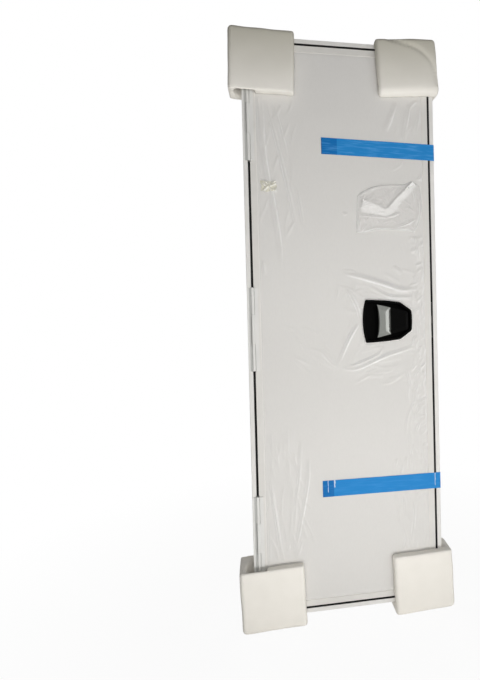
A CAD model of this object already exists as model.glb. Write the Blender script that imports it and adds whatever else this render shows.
import math

import bmesh
import bpy
import numpy as np
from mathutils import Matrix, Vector


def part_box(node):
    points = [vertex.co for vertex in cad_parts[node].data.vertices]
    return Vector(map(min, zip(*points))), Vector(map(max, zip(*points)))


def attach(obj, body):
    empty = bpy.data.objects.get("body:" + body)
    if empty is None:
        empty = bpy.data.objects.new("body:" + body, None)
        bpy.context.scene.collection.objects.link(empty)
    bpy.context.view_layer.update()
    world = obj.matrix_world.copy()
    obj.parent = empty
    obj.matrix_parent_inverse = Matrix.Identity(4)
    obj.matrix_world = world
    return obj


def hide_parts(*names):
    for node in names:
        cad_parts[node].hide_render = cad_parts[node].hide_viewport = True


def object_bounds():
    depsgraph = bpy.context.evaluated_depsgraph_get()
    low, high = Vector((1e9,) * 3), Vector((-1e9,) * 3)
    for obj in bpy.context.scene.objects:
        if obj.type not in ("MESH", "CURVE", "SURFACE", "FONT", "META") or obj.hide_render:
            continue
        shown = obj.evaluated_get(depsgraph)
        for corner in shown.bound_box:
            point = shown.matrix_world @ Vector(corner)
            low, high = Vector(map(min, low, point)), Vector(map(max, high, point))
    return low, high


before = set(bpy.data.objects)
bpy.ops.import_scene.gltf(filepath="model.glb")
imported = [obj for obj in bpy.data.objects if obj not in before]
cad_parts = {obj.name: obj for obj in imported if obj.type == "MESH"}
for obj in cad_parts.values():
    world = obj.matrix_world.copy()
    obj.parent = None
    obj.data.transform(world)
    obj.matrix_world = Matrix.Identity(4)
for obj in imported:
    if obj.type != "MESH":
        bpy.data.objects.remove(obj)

cad_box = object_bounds()

# Frame rails
# The frame is four lengths of Z-section aluminium, sawn at 45 degrees, joined at the corners and
# powder coated white. Its flange lies flat on the caravan's wall.
MM = 0.001
SIDES = ("head", "sill", "hinge_side", "lock_side")


def linear(code):
    """Linear RGBA of an sRGB colour written as #rrggbb."""
    parts = [int(code[at : at + 2], 16) / 255 for at in (1, 3, 5)]
    light = [c / 12.92 if c <= 0.04045 else ((c + 0.055) / 1.055) ** 2.4 for c in parts]
    return (*light, 1.0)


def add(tree, kind, links=None, **settings):
    """Add one node with its settings; each link is a socket's value or another node's output."""
    made = tree.nodes.new(kind)
    for name, value in settings.items():
        setattr(made, name, value)
    for socket, value in (links or {}).items():
        if isinstance(value, bpy.types.NodeSocket):
            tree.links.new(value, made.inputs[socket])
        else:
            made.inputs[socket].default_value = value
    return made


def noise(tree, place, size, detail, **sockets):
    """Noise whose largest features have about this size."""
    sockets |= {"Vector": place, "Scale": 1 / size, "Detail": detail}
    return add(tree, "ShaderNodeTexNoise", sockets).outputs["Fac"]


def mix(tree, share, first, second):
    """Blend of two colours, each an sRGB code or another node's output."""
    first, second = [linear(end) if isinstance(end, str) else end for end in (first, second)]
    sockets = {"Fac": share, "Color1": first, "Color2": second}
    return add(tree, "ShaderNodeMixRGB", sockets).outputs["Color"]


def spread(tree, value, low, high, start=0.0, end=1.0):
    """A value's run from start to end, spread from low to high."""
    sockets = {"Value": value, "From Min": start, "From Max": end, "To Min": low, "To Max": high}
    return add(tree, "ShaderNodeMapRange", sockets).outputs["Result"]


def bump(tree, height, strength, depth, **sockets):
    """Normal of a surface that a height raises."""
    sockets |= {"Height": height, "Strength": strength, "Distance": depth}
    return add(tree, "ShaderNodeBump", sockets).outputs["Normal"]


def start_finish(name, sockets):
    """New material whose shader has these constant sockets: returns it, its tree and its shader."""
    material = bpy.data.materials.new(name)
    material.use_nodes = True
    tree = material.node_tree
    shader = tree.nodes["Principled BSDF"]
    for socket, value in sockets.items():
        shader.inputs[socket].default_value = value
    return material, tree, shader


def connect(tree, shader, outputs):
    """Link what varies over a surface to the shader's sockets."""
    for socket, output in outputs.items():
        tree.links.new(output, shader.inputs[socket])


def wear(nodes, material):
    """Give CAD nodes their finish."""
    for node in nodes:
        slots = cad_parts[node].data.materials
        slots.clear()
        slots.append(material)


def powder_coat(name, colour, shade, roughness):
    """Powder coat on aluminium: soft sheen, a fine orange-peel ripple and faint handling marks."""
    mark_size = 45 * MM
    peel_size = 2.5 * MM  # finer on the real coat, drawn coarser so that it shows
    uneven_gloss = 0.08
    material, tree, shader = start_finish(name, {"Roughness": roughness, "IOR": 1.5})
    place = add(tree, "ShaderNodeTexCoord").outputs["Object"]
    marks = noise(tree, place, mark_size, detail=5.0)
    peel = noise(tree, place, peel_size, detail=1.0)
    connect(
        tree,
        shader,
        {
            "Base Color": mix(tree, marks, shade, colour),
            "Roughness": spread(tree, marks, roughness + uneven_gloss, roughness - uneven_gloss),
            "Normal": bump(tree, peel, strength=0.12, depth=0.15 * MM),
        },
    )
    return material


white_coat = powder_coat("powder_coated_aluminium_white", "#eceae6", "#dddbd6", roughness=0.42)
wear([f"frame_{side}" for side in SIDES], white_coat)

# Gasket
# A black EPDM rubber angle pushed onto the frame's web and stop lip, so that the leaf closes
# against it. The rubber is extruded, matt and slightly dusty from the works.
RUBBER = "#0d0c0b"
RUBBER_DUST = "#2b2926"
DUST_PATCH = 30 * MM
DUST_MOST = 0.5
EXTRUSION_LINE = 1.5 * MM
rubber, tree, shader = start_finish("epdm_rubber_black", {"Roughness": 0.62, "IOR": 1.52})
place = add(tree, "ShaderNodeTexCoord").outputs["Object"]
dust = noise(tree, place, DUST_PATCH, detail=6.0)
dust_share = spread(tree, dust, 0.0, DUST_MOST, start=0.5, end=0.8)
grain = noise(tree, place, EXTRUSION_LINE, detail=2.0)
connect(
    tree,
    shader,
    {
        "Base Color": mix(tree, dust_share, RUBBER, RUBBER_DUST),
        "Normal": bump(tree, grain, strength=0.2, depth=0.2 * MM),
    },
)
wear([f"seal_{side}" for side in SIDES], rubber)

# Hinges
# Three lift-off hinges: two frame knuckles and one leaf knuckle on a steel pin. The wings are
# aluminium extrusions in a gloss white coat, screwed on from behind, and the pin is ground steel.
PLACES = ("top", "middle", "bottom")

# Grime sits in the long corner between the frame's flange and the barrels
GRIME = "#b6b6b2"
GRIME_PLACE = -284.5 * MM
GRIME_HALF = 3.5 * MM


def calculate(tree, operation, *values):
    """Result of one Math node."""
    sockets = dict(enumerate(values))
    return add(tree, "ShaderNodeMath", sockets, operation=operation).outputs[0]


hinge_coat = powder_coat(
    "powder_coated_aluminium_gloss_white", "#e6e5e1", "#dad9d5", roughness=0.3
)
tree = hinge_coat.node_tree
shader = tree.nodes["Principled BSDF"]
place = add(tree, "ShaderNodeTexCoord").outputs["Object"]
sideways = add(tree, "ShaderNodeSeparateXYZ", {"Vector": place}).outputs["X"]
in_corner = calculate(tree, "COMPARE", sideways, GRIME_PLACE, GRIME_HALF)
clean = shader.inputs["Base Color"].links[0].from_socket
connect(tree, shader, {"Base Color": mix(tree, in_corner, clean, GRIME)})
for wing in ("frame_wing", "leaf_wing"):
    wear([f"hinge_{spot}_{wing}" for spot in PLACES], hinge_coat)


def stretch(tree, place, scale):
    """Coordinates scaled on each axis, so that a pattern on them is drawn out."""
    return add(tree, "ShaderNodeMapping", {"Vector": place, "Scale": scale}).outputs["Vector"]


def plain_steel(name, colour, shade, roughness, grit):
    """Bare steel with the fine upright streaks that grinding leaves on it."""
    streak_stretch = (1.0, 1.0, 0.08)
    uneven_gloss = 0.1
    material, tree, shader = start_finish(name, {"Metallic": 1.0, "Roughness": roughness})
    place = add(tree, "ShaderNodeTexCoord").outputs["Object"]
    streaks = noise(tree, stretch(tree, place, streak_stretch), grit, detail=3.0)
    connect(
        tree,
        shader,
        {
            "Base Color": mix(tree, streaks, shade, colour),
            "Roughness": spread(tree, streaks, roughness - uneven_gloss, roughness + uneven_gloss),
            "Normal": bump(tree, streaks, strength=0.15, depth=0.1 * MM),
        },
    )
    return material


pin_steel = plain_steel(
    "ground_stainless_steel", "#c9c8c4", "#a3a29e", roughness=0.3, grit=1.2 * MM
)
wear([f"hinge_{spot}_pin" for spot in PLACES], pin_steel)

# Leaf edges and sheets
# The leaf is a sandwich: coil-coated aluminium sheet outside, rigid foam, and faced plywood
# inside, bonded together and closed by mitred edge channels in the frame's white.
edge_coat = powder_coat("powder_coated_aluminium_leaf_edge", "#e3e1dc", "#d6d3cd", roughness=0.4)
wear([f"edge_{side}" for side in SIDES], edge_coat)
skin_coat = powder_coat("coil_coated_aluminium_sheet", "#eae7e3", "#e3e0dc", roughness=0.36)
wear(["leaf_outer_skin"], skin_coat)

FACING = "#ddd5c6"
FACING_GRAIN = "#cbbfab"
GRAIN_WIDTH = 5 * MM
GRAIN_STRETCH = (1.0, 1.0, 0.05)
faced_ply, tree, shader = start_finish("paper_faced_plywood", {"Roughness": 0.55, "IOR": 1.48})
place = add(tree, "ShaderNodeTexCoord").outputs["Object"]
upright_grain = stretch(tree, place, GRAIN_STRETCH)
fibre = noise(tree, upright_grain, GRAIN_WIDTH, detail=6.0, Distortion=0.6)
connect(
    tree,
    shader,
    {
        "Base Color": mix(tree, fibre, FACING_GRAIN, FACING),
        "Normal": bump(tree, fibre, strength=0.15, depth=0.3 * MM),
    },
)
wear(["leaf_inner_skin"], faced_ply)

CORE_FOAM = "#d9cfa8"
CORE_FOAM_SHADE = "#c4b88c"
CORE_CELL = 1.5 * MM
core_foam, tree, shader = start_finish("rigid_polyurethane_foam", {"Roughness": 0.9})
place = add(tree, "ShaderNodeTexCoord").outputs["Object"]
cells = add(tree, "ShaderNodeTexVoronoi", {"Vector": place, "Scale": 1 / CORE_CELL})
core_tone = mix(tree, cells.outputs["Distance"], CORE_FOAM, CORE_FOAM_SHADE)
connect(tree, shader, {"Base Color": core_tone})
wear(["leaf_core"], core_foam)

# Latch and strike
# A stamped steel plate let into the leaf's lock edge carries the latch bolt, and a second plate
# with a slot for it is screwed to the frame. Each plate has two countersunk cross-slot screws.
PLATE_SCREW_RADIUS = 3.2 * MM
PLATE_SCREW_HEIGHT = 0.8 * MM
PLATE_SCREW_INSET = 14 * MM
PLATE_SCREW_SINK = 0.2 * MM
latch_steel = plain_steel(
    "stamped_zinc_plated_steel", "#b7b6b0", "#97968f", roughness=0.38, grit=2 * MM
)
wear(["latch_plate", "latch_bolt", "strike_plate"], latch_steel)


def screw_tree():
    """Geometry Nodes tree: a line of cross-slot screw heads, each turned at random on its shank."""
    head_sides = 18
    crown_share = 0.72
    slot_share = 1.2
    tree = bpy.data.node_groups.new("screw_line", "GeometryNodeTree")
    inputs = {
        "Head Radius": ("NodeSocketFloat", 2.5 * MM),
        "Head Height": ("NodeSocketFloat", 0.8 * MM),
        "Slot Width": ("NodeSocketFloat", 0.7 * MM),
        "First": ("NodeSocketVector", (0.0, 0.0, 0.0)),
        "Step": ("NodeSocketVector", (0.0, 0.0, 0.01)),
        "Count": ("NodeSocketInt", 2),
        "Facing": ("NodeSocketVector", (0.0, 0.0, 1.0)),
        "Seed": ("NodeSocketInt", 3),
        "Finish": ("NodeSocketMaterial", None),
    }
    for name, (kind, value) in inputs.items():
        socket = tree.interface.new_socket(name, in_out="INPUT", socket_type=kind)
        if value is not None:
            socket.default_value = value
    tree.interface.new_socket("Geometry", in_out="OUTPUT", socket_type="NodeSocketGeometry")
    given = add(tree, "NodeGroupInput").outputs
    crown = calculate(tree, "MULTIPLY", given["Head Radius"], crown_share)
    slot_length = calculate(tree, "MULTIPLY", given["Head Radius"], slot_share)
    head = add(
        tree,
        "GeometryNodeMeshCone",
        {
            "Vertices": head_sides,
            "Radius Top": crown,
            "Radius Bottom": given["Head Radius"],
            "Depth": given["Head Height"],
        },
    )
    lift = add(tree, "ShaderNodeCombineXYZ", {"Z": given["Head Height"]}).outputs["Vector"]
    screw = head.outputs["Mesh"]
    bars = ((slot_length, given["Slot Width"]), (given["Slot Width"], slot_length))
    for length, width in bars:
        size = add(
            tree, "ShaderNodeCombineXYZ", {"X": length, "Y": width, "Z": given["Head Height"]}
        )
        bar = add(tree, "GeometryNodeMeshCube", {"Size": size.outputs["Vector"]})
        raised = add(
            tree, "GeometryNodeTransform", {"Geometry": bar.outputs["Mesh"], "Translation": lift}
        )
        slotted = add(
            tree,
            "GeometryNodeMeshBoolean",
            {"Mesh 1": screw, "Mesh 2": raised.outputs["Geometry"]},
            operation="DIFFERENCE",
        )
        screw = slotted.outputs["Mesh"]
    row = add(
        tree,
        "GeometryNodeMeshLine",
        {"Count": given["Count"], "Start Location": given["First"], "Offset": given["Step"]},
        mode="OFFSET",
    )
    upright = add(
        tree, "FunctionNodeAlignRotationToVector", {"Vector": given["Facing"]}, axis="Z"
    )
    turn = add(
        tree,
        "FunctionNodeRandomValue",
        {"Max": math.pi, "Seed": given["Seed"]},
        data_type="FLOAT",
    )
    angle = next(socket for socket in turn.outputs if socket.enabled)
    spin = add(tree, "FunctionNodeAxisAngleToRotation", {"Axis": (0.0, 0.0, 1.0), "Angle": angle})
    turned = add(
        tree,
        "FunctionNodeRotateRotation",
        {"Rotation": upright.outputs["Rotation"], "Rotate By": spin.outputs["Rotation"]},
        rotation_space="LOCAL",
    )
    set_out = add(
        tree,
        "GeometryNodeInstanceOnPoints",
        {
            "Points": row.outputs["Mesh"],
            "Instance": screw,
            "Rotation": turned.outputs["Rotation"],
        },
    )
    real = add(tree, "GeometryNodeRealizeInstances", {"Geometry": set_out.outputs["Instances"]})
    dressed = add(
        tree,
        "GeometryNodeSetMaterial",
        {"Geometry": real.outputs["Geometry"], "Material": given["Finish"]},
    )
    add(tree, "NodeGroupOutput", {"Geometry": dressed.outputs["Geometry"]})
    return tree


screw_line = screw_tree()


def add_object(name, data):
    """New object in the scene, with this mesh, lamp or camera."""
    made = bpy.data.objects.new(name, data)
    bpy.context.scene.collection.objects.link(made)
    return made


def drive_screws(name, lines, body, finish):
    """Set lines of screws, each a dict of the tree's inputs, as one mesh that rides on a body."""
    inputs = [item for item in screw_line.interface.items_tree if item.in_out == "INPUT"]
    sockets = {item.name: item.identifier for item in inputs}
    joined = bmesh.new()
    for line in lines:
        bench = add_object(name, bpy.data.meshes.new(name))
        modifier = bench.modifiers.new("screws", "NODES")
        modifier.node_group = screw_line
        for socket, value in {**line, "Finish": finish}.items():
            modifier[sockets[socket]] = value
        ready = bench.evaluated_get(bpy.context.evaluated_depsgraph_get())
        joined.from_mesh(bpy.data.meshes.new_from_object(ready))
        bpy.data.objects.remove(bench)
    mesh = bpy.data.meshes.new(name)
    joined.to_mesh(mesh)
    mesh.materials.append(finish)
    piece = add_object(name, mesh)
    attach(piece, body)


def plate_screws(name, node, facing, body):
    """Two screws on the upright middle line of a plate, one near each end."""
    low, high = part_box(node)
    seat = high.x if facing > 0 else low.x
    middle_y = (low.y + high.y) / 2
    line = {
        "Head Radius": PLATE_SCREW_RADIUS,
        "Head Height": PLATE_SCREW_HEIGHT,
        "First": (seat - facing * PLATE_SCREW_SINK, middle_y, low.z + PLATE_SCREW_INSET),
        "Step": (0.0, 0.0, high.z - low.z - 2 * PLATE_SCREW_INSET),
        "Count": 2,
        "Facing": (float(facing), 0.0, 0.0),
    }
    drive_screws(name, [line], body, pin_steel)


plate_screws("latch_plate_screws", "latch_plate", 1, "leaf")
plate_screws("strike_plate_screws", "strike_plate", -1, "frame")

# Flush lock
# A black glass-filled nylon bezel and cup, clamped through the leaf, with a moulded pull lever:
# a black hood over the pivot and a silver lacquered grip that fingers pull from the cup.
MOULDED_BLACK = "#030303"
MOULDED_BLACK_WORN = "#080807"
MOULD_GRAIN = 1.2 * MM  # the spark-eroded grain is finer, drawn coarser so that it shows
HANDLING_PATCH = 25 * MM


def moulded_nylon(name, roughness, sheen):
    """Moulded nylon: near black, satin from the mould's grain, greyer where hands polish it."""
    uneven_gloss = 0.1
    sockets = {"Roughness": roughness, "IOR": 1.53, "Specular IOR Level": sheen}
    material, tree, shader = start_finish(name, sockets)
    place = add(tree, "ShaderNodeTexCoord").outputs["Object"]
    touch = noise(tree, place, HANDLING_PATCH, detail=4.0)
    grain = noise(tree, place, MOULD_GRAIN, detail=2.0)
    connect(
        tree,
        shader,
        {
            "Base Color": mix(tree, touch, MOULDED_BLACK, MOULDED_BLACK_WORN),
            "Roughness": spread(tree, touch, roughness - uneven_gloss, roughness + uneven_gloss),
            "Normal": bump(tree, grain, strength=0.18, depth=0.2 * MM),
        },
    )
    return material


wear(["lock_bezel"], moulded_nylon("moulded_nylon_black_bezel", roughness=0.42, sheen=0.03))
wear(["lever_hood"], moulded_nylon("moulded_nylon_black_hood", roughness=0.34, sheen=0.03))
wear(["lever_pin"], pin_steel)

SILVER = "#8f908b"
SILVER_SHADE = "#747672"
FLAKE = 0.8 * MM  # aluminium flake in the lacquer, drawn coarser so that it shows
silver, tree, shader = start_finish(
    "silver_lacquered_nylon", {"Metallic": 0.55, "Roughness": 0.34, "Coat Weight": 0.25}
)
place = add(tree, "ShaderNodeTexCoord").outputs["Object"]
flakes = noise(tree, place, FLAKE, detail=3.0)
connect(
    tree,
    shader,
    {
        "Base Color": mix(tree, flakes, SILVER_SHADE, SILVER),
        "Normal": bump(tree, flakes, strength=0.08, depth=0.1 * MM),
    },
)
wear(["lever_grip"], silver)

# Inside of the lock
# A moulded cover plate on the inner sheet with a lever handle on its hub. Four long screws
# through the plate's corners clamp it to the outer bezel.
COVER_SCREW_RADIUS = 4 * MM
COVER_SCREW_HEIGHT = 1.2 * MM
COVER_SCREW_SLOT = 1 * MM
COVER_SCREW_INSET = 14 * MM
COVER_SCREW_SEED = 5
inside_nylon = moulded_nylon("moulded_nylon_black_inside", roughness=0.42, sheen=0.3)
wear(["inner_lock_plate", "inner_handle"], inside_nylon)
plate_low, plate_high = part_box("inner_lock_plate")
cover_lines = [
    {
        "Head Radius": COVER_SCREW_RADIUS,
        "Head Height": COVER_SCREW_HEIGHT,
        "Slot Width": COVER_SCREW_SLOT,
        "First": (across, plate_high.y, plate_low.z + COVER_SCREW_INSET),
        "Step": (0.0, 0.0, plate_high.z - plate_low.z - 2 * COVER_SCREW_INSET),
        "Count": 2,
        "Facing": (0.0, 1.0, 0.0),
        "Seed": COVER_SCREW_SEED,
    }
    for across in (plate_low.x + COVER_SCREW_INSET, plate_high.x - COVER_SCREW_INSET)
]
drive_screws("inner_lock_screws", cover_lines, "leaf", pin_steel)

# Protective film
# A clear self-adhesive polyethylene film over the outer sheet, put on by hand at the works and cut
# out round the lock. It has lifted in long creases where it was pulled at corners and lock.
FILM_STEP = 3 * MM
FILM_SEED = 11
FILM_BOND = 0.25 * MM
FILM_RIM = 6 * MM
RIM_SHARE = 0.2
UNDER_PACKING = 0.9 * MM
GUARDS = [
    f"guard_{end}_{side}" for end in ("top", "bottom") for side in ("hinge_side", "lock_side")
]
film_low, film_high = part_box("protective_film")
film_size = film_high - film_low
middle = (film_low + film_high) / 2
film_face = film_high.y - FILM_BOND

# Each crease: its height and half width in millimetres, then its points from the film's middle
CREASES = [
    (4.5, 8, [(-245, 690), (-238, 580), (-225, 465)]),
    (4.8, 7, [(-235, 690), (-230, 515), (-205, 360), (-190, 240), (-190, 175)]),
    (4.2, 6, [(-225, 680), (-190, 530), (-155, 365), (-140, 275)]),
    (3.4, 6, [(-200, 670), (-170, 545), (-165, 505)]),
    (2.7, 5, [(-140, 430), (-130, 365), (-120, 300)]),
    (2.6, 5, [(-245, 205), (-240, 160)]),
    (5.1, 4, [(-246, 443), (-226, 428), (-198, 409)]),
    (4.2, 3, [(-242, 424), (-228, 434), (-208, 440)]),
    (3.8, 3, [(-232, 412), (-215, 421), (-200, 430)]),
    (4.5, 9, [(180, 695), (140, 600)]),
    (3.7, 6, [(220, 690), (200, 590)]),
    (3.2, 5, [(250, 680), (235, 600)]),
    (6.1, 7, [(-5, 165), (70, 145), (135, 125), (180, 110), (240, 115)]),
    (4.8, 6, [(80, 125), (135, 95), (180, 90), (230, 90)]),
    (5.4, 6, [(5, 120), (35, 60), (45, 15)]),
    (5.4, 6, [(45, 15), (10, -40), (-20, -105)]),
    (5.4, 6, [(-20, -125), (30, -130), (110, -100), (155, -85), (230, -65)]),
    (4.5, 6, [(115, -60), (95, -90), (0, -125)]),
    (3.2, 6, [(-80, -70), (-45, -110), (-20, -125)]),
    (4.5, 5, [(245, 85), (240, 35), (245, -35)]),
    (3.4, 5, [(190, -135), (205, -195)]),
    (3.4, 5, [(235, -115), (240, -205)]),
    (3.2, 6, [(155, 185), (185, 165)]),
    (3.8, 5, [(-145, -335), (-155, -455), (-165, -525), (-175, -635)]),
    (4.2, 5, [(-120, -395), (-125, -465), (-140, -545), (-170, -685)]),
    (4.5, 5, [(-240, -445), (-225, -580), (-210, -695)]),
    (3.4, 5, [(-150, -640), (-165, -695)]),
    (2.6, 4, [(-185, -645), (-190, -670)]),
    (2.6, 4, [(185, -410), (180, -455)]),
    (2.6, 4, [(200, -410), (200, -460)]),
    (2.6, 5, [(155, -415), (145, -450)]),
    (3.8, 5, [(200, -530), (205, -595), (190, -695)]),
    (3.2, 5, [(185, -660), (170, -705)]),
    (2.6, 3, [(0, 352), (5, 343), (13, 350)]),
]

# Families of fine wrinkles: count, middle and half size of the patch, lie in degrees, length and
# height
WRINKLES = [
    (30, (-190, 480), (60, 190), 78, 100, 2.4),
    (20, (205, 600), (50, 90), 80, 80, 2.4),
    (44, (233, 120), (18, 340), 85, 70, 4.4),
    (56, (236, 40), (14, 430), 35, 26, 4.2),
    (26, (130, 110), (120, 60), 165, 80, 2.2),
    (18, (20, 0), (50, 130), 70, 70, 2.2),
    (26, (150, -110), (110, 60), 15, 80, 2.2),
    (30, (222, -400), (30, 190), 88, 90, 3.0),
    (34, (-190, -520), (60, 180), 96, 120, 2.8),
    (26, (190, -560), (55, 140), 88, 90, 2.4),
    (44, (230, -190), (16, 150), 60, 34, 4.6),
    (12, (-110, -60), (50, 50), 140, 90, 2.0),
]

# What varies from wrinkle to wrinkle: turn in degrees, half as a share of the length, bend, share
# of the height, half width
WRINKLE_TURN = 12
WRINKLE_HALF = (0.25, 0.6)
WRINKLE_BEND = 5
WRINKLE_RISE = (0.4, 1.0)
WRINKLE_HALF_WIDTH = (3, 5)

# Long low waves where the film doesn't lie quite flat
WAVE_COUNT = 9
WAVE_LENGTH = (90, 260)
WAVE_HEIGHT = 0.09 * MM


def smooth_line(points, fineness=6):
    """Catmull-Rom line through hand-set points."""
    ends = np.array([points[0]] + list(points) + [points[-1]], float)
    steps = np.linspace(0, 1, fineness, endpoint=False)[:, None]
    spans = []
    for a, b, c, d in zip(ends, ends[1:], ends[2:], ends[3:]):
        spans.append(
            b
            + 0.5 * steps * (c - a)
            + steps**2 * (a - 2.5 * b + 2 * c - 0.5 * d)
            + steps**3 * (1.5 * b - 1.5 * c + 0.5 * (d - a))
        )
    return np.vstack(spans + [ends[-1:]])


def run_along(points):
    """Distance along a row of points, from the first to each of them."""
    return np.concatenate([[0], np.cumsum(np.linalg.norm(np.diff(points, axis=0), axis=1))])


def line_ends(x, z, way, half):
    """Both ends of a straight line about its middle."""
    return [(x + s * half * math.cos(way), z + s * half * math.sin(way)) for s in (-1, 1)]


def raise_crease(relief, across, up, points, height, half_width, lean):
    """Raise a fold along a line: steep on one flank, tapering to nothing at both ends."""
    steep, gentle = 0.55, 1.25
    taper_power = 0.6
    reach = 4 * half_width * MM
    line = smooth_line(points) * MM
    low, high = line.min(axis=0) - reach, line.max(axis=0) + reach
    near = (across > low[0]) & (across < high[0]) & (up > low[1]) & (up < high[1])
    spot = np.stack([across[near], up[near]], axis=1)
    run = np.linalg.norm(np.diff(line, axis=0), axis=1)
    start = run_along(line)
    best = np.full(len(spot), np.inf)
    side = np.zeros(len(spot))
    share = np.zeros(len(spot))
    for at, (a, b) in enumerate(zip(line, line[1:])):
        way = (b - a) / max(run[at], 1e-9)
        from_a = spot - a
        along = np.clip(from_a @ way, 0, run[at])
        apart = np.linalg.norm(from_a - along[:, None] * way, axis=1)
        closer = apart < best
        best[closer] = apart[closer]
        side[closer] = np.sign(from_a[closer, 0] * way[1] - from_a[closer, 1] * way[0])
        share[closer] = (start[at] + along[closer]) / start[-1]
    flank = np.where(side * lean > 0, steep, gentle) * half_width * MM
    taper = np.clip(np.sin(np.pi * np.clip(share, 0, 1)), 0, 1) ** taper_power
    fold = height * MM * taper * np.exp(-((best / flank) ** 2))
    relief[near] = np.maximum(relief[near], fold)


def grid_piece(name, points, keep=None):
    """Sheet through a grid of points (rows, columns, 3), smooth, with its UV map in metres."""
    rows, columns = points.shape[:2]
    index = np.arange(rows * columns).reshape(rows, columns)
    corners = [index[:-1, :-1], index[:-1, 1:], index[1:, 1:], index[1:, :-1]]
    quads = np.stack(corners, axis=-1).reshape(-1, 4)
    if keep is not None:
        quads = quads[keep.reshape(-1)[quads].all(axis=1)]
    used, renumbered = np.unique(quads, return_inverse=True)
    mesh = bpy.data.meshes.new(name)
    spots = points.reshape(-1, 3)[used]
    mesh.from_pydata(spots.tolist(), [], renumbered.reshape(-1, 4).tolist())
    across, up = run_along(points[0]), run_along(points[:, 0])
    flat = np.stack(np.meshgrid(across, up), axis=-1).reshape(-1, 2)[used]
    corner = np.empty(len(mesh.loops), dtype=np.int32)
    mesh.loops.foreach_get("vertex_index", corner)
    uv_map = mesh.uv_layers.new(name="flat")
    uv_map.data.foreach_set("uv", flat[corner].astype(np.float32).ravel())
    mesh.shade_smooth()
    mesh.update()
    return add_object(name, mesh)


random = np.random.default_rng(FILM_SEED)
columns, rows = [int(round(size / FILM_STEP)) + 1 for size in (film_size.x, film_size.z)]
across, up = np.meshgrid(
    np.linspace(film_low.x, film_high.x, columns) - middle.x,
    np.linspace(film_low.z, film_high.z, rows) - middle.z,
)
relief = np.zeros_like(across)
for height, half_width, points in CREASES:
    raise_crease(relief, across, up, points, height, half_width, random.choice([-1, 1]))
for count, centre, half_size, lie, length, height in WRINKLES:
    for _ in range(count):
        x, z = np.array(centre) + random.uniform(-1, 1, 2) * half_size
        way = math.radians(lie + random.normal(0, WRINKLE_TURN))
        ends = line_ends(x, z, way, length * random.uniform(*WRINKLE_HALF))
        bend = random.normal(0, WRINKLE_BEND, 2)
        raise_crease(
            relief,
            across,
            up,
            [ends[0], (x + bend[0], z + bend[1]), ends[1]],
            height * random.uniform(*WRINKLE_RISE),
            random.uniform(*WRINKLE_HALF_WIDTH),
            random.choice([-1, 1]),
        )
for _ in range(WAVE_COUNT):
    length = random.uniform(*WAVE_LENGTH) * MM
    lie, phase = random.uniform(0, math.tau), random.uniform(0, math.tau)
    swell = np.sin(math.tau / length * (across * math.cos(lie) + up * math.sin(lie)) + phase)
    relief += WAVE_HEIGHT * (1 + swell)

# The packing presses the film flat: the guards at the corners, the tapes and the bag
pressed = np.zeros_like(across, dtype=bool)
for node in GUARDS + ["tape_upper", "tape_lower", "paper_bag"]:
    low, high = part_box(node)
    pressed |= (
        (across + middle.x > low.x - FILM_STEP)
        & (across + middle.x < high.x + FILM_STEP)
        & (up + middle.z > low.z - FILM_STEP)
        & (up + middle.z < high.z + FILM_STEP)
    )
relief[pressed] = np.minimum(relief[pressed], UNDER_PACKING)
border = np.minimum(film_size.x / 2 - abs(across), film_size.z / 2 - abs(up))
relief *= np.clip(border / FILM_RIM, RIM_SHARE, 1)

# The cut-out follows the lock: half its outline, in millimetres from its nose and middle height
CUT_MARGIN = 1.5 * MM
CUT_FLAT = 4 * MM
CUT_OUTLINE = np.array(
    [(-157, 0), (-154.6, 33), (-147.5, 66.5), (-93, 63.8), (-39, 58), (-2.5, 32), (0, 0)]
)
bezel_low, bezel_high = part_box("lock_bezel")
from_nose = across + middle.x - bezel_high.x
from_middle = abs(up + middle.z - (bezel_low.z + bezel_high.z) / 2)
apart = np.full_like(across, -1.0)
for start, end in zip(CUT_OUTLINE * MM, CUT_OUTLINE[1:] * MM):
    way = (end - start) / np.linalg.norm(end - start)
    from_edge = (from_middle - start[1]) * way[0] - (from_nose - start[0]) * way[1]
    apart = np.maximum(apart, from_edge)
cut_out = apart < CUT_MARGIN
relief *= np.clip((apart - CUT_MARGIN) / CUT_FLAT, 0, 1)
film_points = np.stack([across + middle.x, film_face - relief, up + middle.z], axis=-1)
film = grid_piece("protective_film_sheet", film_points, ~cut_out)


def clear_film(name, tint, opacity, whitened, roughness, gloss):
    """Clear polyethylene: glossy, faintly milky, whitened where it is drawn or creased."""
    mark_size = 4 * MM
    mark_stretch = (1.0, 1.0, 0.35)
    uneven_milk = 0.02
    flat_lie, creased_lie = 0.985, 0.82  # cosines of the slope, where whitening starts and ends
    most_white = 0.6
    sockets = {"Roughness": roughness, "IOR": 1.51, "Specular IOR Level": gloss}
    material, tree, shader = start_finish(name, sockets)
    spot = add(tree, "ShaderNodeTexCoord").outputs
    haze = noise(tree, stretch(tree, spot["Object"], mark_stretch), mark_size, detail=3.0)
    outwards = add(
        tree,
        "ShaderNodeVectorMath",
        {0: spot["Normal"], 1: (0.0, -1.0, 0.0)},
        operation="DOT_PRODUCT",
    )
    lie = calculate(tree, "ABSOLUTE", outwards.outputs["Value"])
    creased = spread(tree, lie, 0.0, most_white, start=flat_lie, end=creased_lie)
    milk = spread(tree, haze, opacity - uneven_milk, opacity + uneven_milk)
    connect(
        tree,
        shader,
        {
            "Base Color": mix(tree, creased, tint, "#ffffff"),
            "Alpha": spread(tree, creased, milk, whitened),
            "Normal": bump(tree, haze, strength=0.06, depth=0.3 * MM),
        },
    )
    return material


film_finish = clear_film(
    "clear_polyethylene_film", "#efede9", opacity=0.7, whitened=0.95, roughness=0.2, gloss=0.5
)
film.data.materials.append(film_finish)
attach(film, "leaf")
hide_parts("protective_film")

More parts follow.
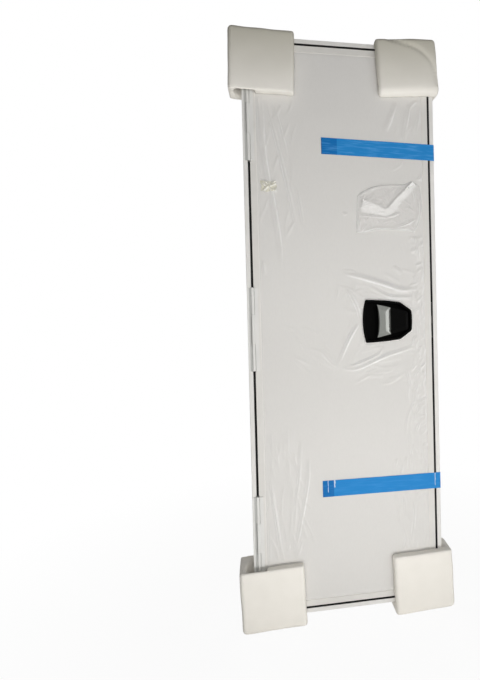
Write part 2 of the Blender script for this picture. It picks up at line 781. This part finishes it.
# Scrap of tape
# A crumpled bit of clear packing tape, left where the film was held down by hand near the hinge
# side. Its glue has yellowed a little, so that it shows cream on the film.
SCRAP_MIDDLE = (-222, 424)
SCRAP_SIZE = (46, 30)
SCRAP_STEP = 1.5
SCRAP_SEED = 41
SCRAP_RISE = 6 * MM

# Waves that make its rim ragged: share of its size, number round the rim, phase
SCRAP_RIM = [(0.08, 3, 1), (0.05, 7, 2)]


def crumple(sheet, random, count, half_size, halves, heights, half_widths):
    """Raise straight creases at random on a sheet's relief, in millimetres from its middle."""
    for _ in range(count):
        x, z = [random.uniform(-limit, limit) for limit in half_size]
        way, half = random.uniform(0, math.pi), random.uniform(*halves)
        raise_crease(
            *sheet,
            line_ends(x, z, way, half),
            random.uniform(*heights),
            random.uniform(*half_widths),
            random.choice([-1, 1]),
        )


random = np.random.default_rng(SCRAP_SEED)
across, up = np.meshgrid(
    *[(np.arange(int(size / SCRAP_STEP) + 1) * SCRAP_STEP - size / 2) * MM for size in SCRAP_SIZE]
)
relief = np.zeros_like(across)
crumple(
    (relief, across, up),
    random,
    count=11,
    half_size=[size / 2 for size in SCRAP_SIZE],
    halves=(9, 20),
    heights=(2.0, 4.5),
    half_widths=(2.2, 3.2),
)
angle = np.arctan2(up, across)
ragged = 1 + sum(share * np.sin(waves * angle + phase) for share, waves, phase in SCRAP_RIM)
scrap_points = np.stack(
    [
        middle.x + SCRAP_MIDDLE[0] * MM + across * ragged,
        film_face - SCRAP_RISE - relief,
        middle.z + SCRAP_MIDDLE[1] * MM + up * ragged,
    ],
    axis=-1,
)
scrap = grid_piece("tape_scrap", scrap_points)
scrap_finish = clear_film(
    "yellowed_packing_tape", "#e9e5cf", opacity=0.6, whitened=0.9, roughness=0.25, gloss=0.6
)
scrap.data.materials.append(scrap_finish)
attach(scrap, "leaf")

# Bag of papers
# A clear polyethylene bag laid on the leaf and stuck down at its rim. The papers in it puff it up
# and pull it out of square.
BAG_STEP = 2 * MM
BAG_SEED = 23
BAG_GAP = 0.3 * MM
BAG_ROOM = 1 * MM
BAG_PILLOW = 8 * MM
PILLOW_FLATNESS = 4
bag_low, bag_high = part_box("paper_bag")
bag_middle, bag_size = (bag_low + bag_high) / 2, bag_high - bag_low

# The bag's four edges and its main creases, in millimetres from its middle
BAG_EDGES = {
    "left": [(-106, -74), (-104, -20), (-101, 36)],
    "top": [(-101, 36), (-86, 51), (-36, 71), (44, 76), (74, 86), (100, 72)],
    "right": [(80, -74), (99, -29), (106, 12), (100, 72)],
    "bottom": [(-106, -74), (-76, -74), (-31, -64), (59, -69), (80, -74)],
}
BAG_CREASES = [
    (4.0, 5, [(-98, 34), (-60, 58), (-10, 70), (40, 72)]),
    (4.0, 4, [(-80, -70), (-45, -62), (0, -64), (45, -62), (70, -66)]),
    (4.5, 4, [(-14, -28), (10, -22), (30, -14)]),
    (4.5, 4, [(5, -60), (35, -56), (60, -46), (82, -34)]),
    (3.0, 4, [(-95, -22), (-40, -26), (5, -30)]),
    (3.0, 4, [(88, 40), (94, 0), (88, -40)]),
    (3.0, 4, [(72, 66), (80, 30), (76, 0)]),
    (2.6, 4, [(-92, -30), (-96, -50), (-92, -68)]),
]


def even_steps(points, count):
    """Points at even steps along a smooth line, in metres."""
    line = smooth_line(points) * MM
    run = run_along(line)
    steps = np.linspace(0, run[-1], count)
    return np.stack([np.interp(steps, run, line[:, axis]) for axis in (0, 1)], axis=1)


# The sheet between the four edges is a Coons patch
random = np.random.default_rng(BAG_SEED)
columns, rows = int(bag_size.x / BAG_STEP) + 1, int(bag_size.z / BAG_STEP) + 1
left, right = [even_steps(BAG_EDGES[edge], rows)[:, None] for edge in ("left", "right")]
bottom, top = [even_steps(BAG_EDGES[edge], columns)[None] for edge in ("bottom", "top")]
u, v = np.meshgrid(np.linspace(0, 1, columns), np.linspace(0, 1, rows))
u, v = u[..., None], v[..., None]
patch = (1 - u) * left + u * right + (1 - v) * bottom + v * top
low_corners = (1 - u) * left[:1] + u * right[:1]
high_corners = (1 - u) * left[-1:] + u * right[-1:]
patch -= (1 - v) * low_corners + v * high_corners
across, up = patch[..., 0], patch[..., 1]
relief = np.zeros_like(across)
for height, half_width, points in BAG_CREASES:
    raise_crease(relief, across, up, points, height, half_width, random.choice([-1, 1]))
crumple(
    (relief, across, up),
    random,
    count=70,
    half_size=(90, 72),
    halves=(8, 22),
    heights=(0.5, 1.8),
    half_widths=(2.5, 4),
)
crowned = [1 - (2 * share - 1) ** PILLOW_FLATNESS for share in (u, v)]
rise = np.sqrt(np.clip(crowned[0] * crowned[1], 0, 1)[..., 0])
bag_face = film_face - UNDER_PACKING - BAG_GAP
bag_height = np.minimum(BAG_PILLOW * rise + relief * (rise > 0), bag_size.y - BAG_ROOM)
bag_points = np.stack(
    [across + bag_middle.x, bag_face - bag_height, up + bag_middle.z], axis=-1
)
bag = grid_piece("paper_bag_film", bag_points)
bag_finish = clear_film(
    "clear_polyethylene_bag", "#f4f2ef", opacity=0.3, whitened=0.5, roughness=0.12, gloss=0.6
)
bag.data.materials.append(bag_finish)
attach(bag, "leaf")
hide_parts("paper_bag")

# Folded leaflet
# A sheet of white uncoated paper in the bag, folded in three along its length and bent into a V.
# One end is spread wider than the rest, and its folds stand a little open.
LEAFLET_LINE = [(-88, 6), (-45, -4), (-6, -12), (35, 28), (82, 76)]
LEAFLET_WIDTH = 30
LEAFLET_LAYERS = 3
LEAFLET_STEPS = 8
LEAFLET_GAP = 0.4
LEAFLET_LIFT = 0.6
LEAFLET_TILT = 4.5
LEAFLET_BULGE = 0.6
LEAFLET_BULGES = 5

# Share of the width at shares of the length
LEAFLET_SPREAD = ([0, 0.4, 0.6, 1], [1.35, 0.7, 0.8, 0.7])
leaflet_line = smooth_line(LEAFLET_LINE, LEAFLET_STEPS)
way = np.gradient(leaflet_line, axis=0)
way /= np.linalg.norm(way, axis=1)[:, None]
sideways = np.stack([-way[:, 1], way[:, 0]], axis=1)
folds = np.linspace(0, LEAFLET_LAYERS, LEAFLET_LAYERS * LEAFLET_STEPS + 1)
swing = np.abs((folds + 1) % 2 - 1) * 2 - 1
height = folds * LEAFLET_LIFT + LEAFLET_TILT * (1 + swing) / 2 + LEAFLET_GAP
bulge = LEAFLET_BULGE * np.sin(np.linspace(0, LEAFLET_BULGES * math.pi, len(leaflet_line)))
width = LEAFLET_WIDTH / 2 * np.interp(np.linspace(0, 1, len(leaflet_line)), *LEAFLET_SPREAD)
leaflet_points = np.empty((len(leaflet_line), len(folds), 3))
for at, (spot, out) in enumerate(zip(leaflet_line, sideways)):
    flat = spot + out * (swing * width[at])[:, None]
    crown = bulge[at] * (1 - swing**2) * folds / LEAFLET_LAYERS
    leaflet_points[at, :, 0] = flat[:, 0] * MM + bag_middle.x
    leaflet_points[at, :, 1] = bag_face - (height + crown) * MM
    leaflet_points[at, :, 2] = flat[:, 1] * MM + bag_middle.z
leaflet = grid_piece("folded_leaflet", leaflet_points)

PAPER = "#fbfaf8"
PAPER_SHADE = "#f3f2ee"
PAPER_FIBRE = 3 * MM
paper, tree, shader = start_finish("uncoated_white_paper", {"Roughness": 0.8, "IOR": 1.5})
place = add(tree, "ShaderNodeTexCoord").outputs["Object"]
fibre = noise(tree, place, PAPER_FIBRE, detail=5.0)
connect(
    tree,
    shader,
    {
        "Base Color": mix(tree, fibre, PAPER_SHADE, PAPER),
        "Normal": bump(tree, fibre, strength=0.2, depth=0.2 * MM),
    },
)
leaflet.data.materials.append(paper)
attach(leaflet, "leaf")

# Adhesive tapes
# Two lengths of blue crepe tape hold the leaf shut for transport. Each has its free end folded
# under as a pull tab, lies across the leaf, and is turned round the lock-side edge of the frame.
TAPE_STEP = 2.5 * MM
TAPE_LIFT = 0.25 * MM
TAPE_WIDTH = 50 * MM
TAPE_BLUE = "#2485ca"
TAPE_DOUBLED = "#0a6cb2"
TAPE_PULLED = "#5faae6"
TAPE_WHITE = "#e8eef2"
CREPE_PITCH = 1.6 * MM
CREPE_STRETCH = (1.0, 0.12, 1.0)
PULL_PITCH = 6 * MM
PULL_STRETCH = (0.1, 1.0, 1.0)
TAB = {"upper": 48 * MM, "lower": 35 * MM}
TAPE_SEED = {"upper": 5, "lower": 8}
TAPE_STREAKS = {"upper": 0.6, "lower": 0.2}

# White creases: place from the free end, half width, and where across the tape they start
WHITE_CREASES = {
    "upper": [(357 * MM, 0.6 * MM, 20 * MM)],
    "lower": [
        (17 * MM, 0.8 * MM, 12 * MM),
        (37 * MM, 2.0 * MM, 26 * MM),
        (359 * MM, 1.0 * MM, 8 * MM),
    ],
}
WHITE_FADE = 5 * MM
WHITE_MOST = 0.75

# The bend over the frame's edge: how far in from the edge and down from the tape's face
TAPE_BEND = [(0.6 * MM, 0.1 * MM), (0.0, 0.8 * MM)]
BENT_FROM = 2 * MM

# Wrinkles pulled along the tape: how many add up, their lengths and height, and their slant
PULLS = 3
PULL_LENGTH = (14 * MM, 40 * MM)
PULL_HEIGHT = 0.05 * MM
PULL_SLANT = 9
PULL_STRAY = 0.4
PULL_FREE_END = 12 * MM


def tape_blue(place, tab):
    """Crepe paper tape: blue, satin, creped across its length, deeper where the tab doubles it."""
    material, tree, shader = start_finish(
        f"blue_crepe_tape_{place}", {"Roughness": 0.42, "IOR": 1.5, "Specular IOR Level": 0.3}
    )
    flat = add(tree, "ShaderNodeUVMap", uv_map="flat").outputs["UV"]
    spot = add(tree, "ShaderNodeSeparateXYZ", {"Vector": flat}).outputs
    doubled = calculate(tree, "LESS_THAN", spot["X"], 2 * tab)
    ridges = noise(tree, stretch(tree, flat, CREPE_STRETCH), CREPE_PITCH, detail=3.0)
    pulls = noise(tree, stretch(tree, flat, PULL_STRETCH), PULL_PITCH, detail=3.0)
    streaks = spread(tree, pulls, 0.0, TAPE_STREAKS[place], start=0.48, end=0.72)
    worn = mix(tree, streaks, mix(tree, doubled, TAPE_BLUE, TAPE_DOUBLED), TAPE_PULLED)
    for crease, half_width, start in WHITE_CREASES[place]:
        raggedness = 4 * half_width
        broken = calculate(tree, "MULTIPLY_ADD", ridges, raggedness, spot["X"])
        middle = tab + crease + raggedness / 2
        on_line = calculate(tree, "COMPARE", broken, middle, half_width)
        across = spread(tree, spot["Y"], 0.0, WHITE_MOST, start=start, end=start + WHITE_FADE)
        worn = mix(tree, calculate(tree, "MULTIPLY", on_line, across), worn, TAPE_WHITE)
    creped = bump(tree, ridges, strength=0.3, depth=0.3 * MM)
    pulled = bump(tree, pulls, strength=0.5, depth=1.0 * MM, Normal=creped)
    connect(tree, shader, {"Base Color": worn, "Normal": pulled})
    return material


def lay_tape(place):
    """Strip along its CAD solid: tab folded under, flat run with pulled wrinkles, bent-down end."""
    low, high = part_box(f"tape_{place}")
    random = np.random.default_rng(TAPE_SEED[place])
    tab = TAB[place]
    face = low.y
    line = [(low.x + tab - s, face + TAPE_LIFT) for s in np.arange(0, tab, TAPE_STEP)]
    line += [(low.x, face + 0.5 * TAPE_LIFT)]
    line += [(x, face) for x in np.arange(low.x + TAPE_STEP, high.x - TAPE_STEP, TAPE_STEP)]
    line += [(high.x - inwards, face + down) for inwards, down in TAPE_BEND]
    line += [(high.x, y) for y in np.arange(face + BENT_FROM, high.y, TAPE_STEP)]
    line = np.array(line)
    flow = run_along(line)
    loose = line[:, 0] < high.x - PULL_FREE_END
    drop = high.z - low.z - TAPE_WIDTH
    slope = drop * (high.x - line[:, 0]) / (high.x - low.x)
    widths = np.linspace(0, TAPE_WIDTH, int(TAPE_WIDTH / TAPE_STEP) + 1)
    grid = np.empty((len(widths), len(line), 3))
    for row, width in enumerate(widths):
        pulled = np.zeros(len(line))
        for _ in range(PULLS):
            turn = PULL_SLANT * width / TAPE_WIDTH + random.uniform(0, PULL_STRAY)
            pulled += np.sin(flow / random.uniform(*PULL_LENGTH) + turn)
        grid[row, :, 0] = line[:, 0]
        grid[row, :, 1] = line[:, 1] - PULL_HEIGHT * (PULLS + pulled) * loose
        grid[row, :, 2] = low.z + slope + width
    piece = grid_piece(f"tape_{place}_strip", grid)
    piece.data.materials.append(tape_blue(place, tab))
    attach(piece, "leaf")
    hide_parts(f"tape_{place}")


for place in TAB:
    lay_tape(place)

# Corner guards
# Four caps of white polyethylene foam, cut and heat-welded from thick sheet, pushed over the door's
# corners for transport. The foam is soft, so its edges are round and its faces slightly uneven.
GUARD_WELD = 0.01 * MM
GUARD_VOXEL = 3 * MM
GUARD_SOFTNESS = 0.5
GUARD_SMOOTHING = 22
GUARD_SEED = 32
UNEVEN_WAVES = 7
UNEVEN_LENGTH = (60, 160)
UNEVEN_HEIGHT = 0.25 * MM
UNEVEN_SINK = 0.5 * MM

# A dent where the upper lock-side guard has folded over its corner, from the film's middle
DENTED_GUARD = "guard_top_lock_side"
DENT_LINE = [(150, 872), (225, 853), (263, 832), (288, 800), (302, 745)]
DENT_DEPTH = 3.5 * MM
DENT_HALF = 8 * MM

# The upper guards are dusty from the store: clean at their lower edge, grey-green at the top
FOAM = "#f6f2ea"
FOAM_SHADE = "#eeeae1"
FOAM_DUSTY = "#bfbbac"
FOAM_CELL = 3 * MM
FOAM_PATCH = 40 * MM
FOAM_CLEAN = 20 * MM
FOAM_DUST_MOST = 0.9
guard_low, guard_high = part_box("guard_top_hinge_side")
guard_foam, tree, shader = start_finish(
    "expanded_polyethylene_foam", {"Roughness": 0.85, "IOR": 1.4}
)
place = add(tree, "ShaderNodeTexCoord").outputs["Object"]
cells = add(
    tree, "ShaderNodeTexVoronoi", {"Vector": place, "Scale": 1 / FOAM_CELL}, feature="SMOOTH_F1"
)
tone = mix(tree, noise(tree, place, FOAM_PATCH, detail=4.0), FOAM_SHADE, FOAM)
dusty = spread(
    tree,
    add(tree, "ShaderNodeSeparateXYZ", {"Vector": place}).outputs["Z"],
    0.0,
    FOAM_DUST_MOST,
    start=guard_low.z + FOAM_CLEAN,
    end=guard_high.z,
)
connect(
    tree,
    shader,
    {
        "Base Color": mix(tree, dusty, tone, FOAM_DUSTY),
        "Normal": bump(tree, cells.outputs["Distance"], strength=0.12, depth=0.4 * MM),
    },
)


def mould_guard(node, seed):
    """Soft foam form of one CAD cap: remeshed, its edges rounded and its faces made uneven."""
    body = bmesh.new()
    body.from_mesh(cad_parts[node].data)
    bmesh.ops.remove_doubles(body, verts=body.verts, dist=GUARD_WELD)
    rough = bpy.data.meshes.new(f"{node}_rough")
    body.to_mesh(rough)
    bench = add_object(f"{node}_bench", rough)
    remesh = bench.modifiers.new("foam", "REMESH")
    remesh.mode = "VOXEL"
    remesh.voxel_size = GUARD_VOXEL
    soften = bench.modifiers.new("edges", "SMOOTH")
    soften.factor = GUARD_SOFTNESS
    soften.iterations = GUARD_SMOOTHING
    ready = bench.evaluated_get(bpy.context.evaluated_depsgraph_get())
    mesh = bpy.data.meshes.new_from_object(ready)
    bpy.data.objects.remove(bench)
    spots = np.empty((len(mesh.vertices), 3), dtype=np.float32)
    normals = np.empty_like(spots)
    mesh.vertices.foreach_get("co", spots.ravel())
    mesh.vertices.foreach_get("normal", normals.ravel())
    random = np.random.default_rng(seed)
    uneven = np.zeros(len(spots))
    for _ in range(UNEVEN_WAVES):
        wave = random.normal(0, 1, 3)
        wave *= math.tau / (random.uniform(*UNEVEN_LENGTH) * MM) / np.linalg.norm(wave)
        uneven += np.sin(spots @ wave + random.uniform(0, math.tau))
    spots += normals * (UNEVEN_HEIGHT * uneven - UNEVEN_SINK)[:, None]
    if node == DENTED_GUARD:
        line = smooth_line(DENT_LINE) * MM + (middle.x, middle.z)
        apart = np.min(np.linalg.norm(spots[:, None, ::2] - line[None], axis=2), axis=1)
        facing_out = np.clip(-normals[:, 1], 0, 1)
        spots[:, 1] += DENT_DEPTH * facing_out * np.exp(-((apart / DENT_HALF) ** 2))
    mesh.vertices.foreach_set("co", spots.ravel())
    mesh.shade_smooth()
    mesh.update()
    mesh.materials.clear()
    mesh.materials.append(guard_foam)
    piece = add_object(f"{node}_foam", mesh)
    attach(piece, "leaf")
    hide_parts(node)


for seed, node in enumerate(GUARDS, GUARD_SEED):
    mould_guard(node, seed)

# Floor, light and camera
# A pale studio floor that shows white to the camera and keeps the door's shadow near its foot. A
# wide panel on the floor, three lamps in front and a strip on the right light the outside, and two
# lamps behind light the inside for views from the back.
FLOOR_HALF = 6.0
FLOOR_DROP = 1 * MM
FLOOR_PAPER = "#f4f3f1"
FLOOR_WHITE = 0.94
FLOOR_NEAR = 0.5
FLOOR_FAR = 1.5
WORLD_FILL = 0.02
WHITE = "#ffffff"


def seen_directly(tree):
    """1 for a ray that shows a surface to the camera, also by a mirror or glass, else 0."""
    ray = add(tree, "ShaderNodeLightPath").outputs
    direct = calculate(tree, "MAXIMUM", ray["Is Camera Ray"], ray["Is Glossy Ray"])
    return calculate(tree, "MAXIMUM", direct, ray["Is Transmission Ray"])


bpy.context.scene.view_settings.view_transform = "Standard"
floor_z = cad_box[0][2] - FLOOR_DROP
floor_mesh = bpy.data.meshes.new("studio_floor")
floor_corners = ((-1, -1), (1, -1), (1, 1), (-1, 1))
floor_mesh.from_pydata(
    [(x * FLOOR_HALF, y * FLOOR_HALF, floor_z) for x, y in floor_corners], [], [(0, 1, 2, 3)]
)
floor = add_object("studio_floor", floor_mesh)
floor_paint, tree, shader = start_finish(
    "studio_paper_white", {"Base Color": linear(FLOOR_PAPER), "Roughness": 0.9}
)
spot = add(tree, "ShaderNodeTexCoord").outputs["Object"]
from_door = add(tree, "ShaderNodeVectorMath", {0: spot}, operation="LENGTH").outputs["Value"]
whiteness = spread(tree, from_door, FLOOR_WHITE, 1.0, start=FLOOR_NEAR, end=FLOOR_FAR)
glow = add(tree, "ShaderNodeEmission", {"Color": linear(WHITE), "Strength": 1.0})
blend = add(
    tree,
    "ShaderNodeMixShader",
    {
        0: calculate(tree, "MULTIPLY", seen_directly(tree), whiteness),
        1: shader.outputs["BSDF"],
        2: glow.outputs["Emission"],
    },
)
connect(tree, tree.nodes["Material Output"], {"Surface": blend.outputs[0]})
floor_mesh.materials.append(floor_paint)

world = bpy.data.worlds.new("studio")
bpy.context.scene.world = world
world.use_nodes = True
tree = world.node_tree
tree.nodes.clear()
strength = spread(tree, seen_directly(tree), WORLD_FILL, 1.0)
sky = add(tree, "ShaderNodeBackground", {"Color": linear(WHITE), "Strength": strength})
add(tree, "ShaderNodeOutputWorld", {"Surface": sky.outputs["Background"]})

# Each lamp: place, target, width and height, watts, and whether gloss shows it
LAMPS = {
    "floor_panel": ((0.0, -1.72, floor_z + 0.01), (0.0, -1.72, 2.0), (3.0, 0.7), 28, False),
    "front_lamp": ((0.0, -1.7, 1.0), (0.0, 0.0, 1.0), (1.6, 0.4), 7.6, False),
    "upper_lamp": ((0.0, -1.7, 1.2), (0.0, 0.0, 1.2), (1.6, 0.4), 4.8, False),
    "low_lamp": ((0.0, -0.8, 0.04), (0.0, 0.0, 0.04), (1.2, 0.08), 3.0, False),
    "right_strip": ((1.5, -1.25, 0.85), (0.0, 0.0, 0.8), (0.12, 1.5), 6, True),
    "back_lamp_left": ((-1.5, 1.9, 1.2), (0.0, 0.0, 0.85), (1.0, 1.6), 18, False),
    "back_lamp_right": ((1.5, 1.9, 1.2), (0.0, 0.0, 0.85), (1.0, 1.6), 18, False),
}
for name, (place, target, size, watts, glossy) in LAMPS.items():
    light = bpy.data.lights.new(name, "AREA")
    light.shape = "RECTANGLE"
    light.size, light.size_y = size
    light.energy = watts
    lamp = add_object(name, light)
    lamp.location = place
    lamp.rotation_euler = (Vector(target) - Vector(place)).to_track_quat("-Z", "Y").to_euler()
    lamp.visible_glossy = glossy
    lamp.visible_camera = False

CAMERA_PLACE = (-0.2274, -1.3627, 0.8896)
CAMERA_TURN = (89.131, 1.345, -9.068)
CAMERA_LENS = 23.82
CAMERA_SHIFT = (-0.15, -0.022)
lens = bpy.data.cameras.new("photo_camera")
lens.lens = CAMERA_LENS
lens.shift_x, lens.shift_y = CAMERA_SHIFT
camera = add_object("photo_camera", lens)
camera.location = CAMERA_PLACE
camera.rotation_euler = [math.radians(turn) for turn in CAMERA_TURN]
bpy.context.scene.camera = camera
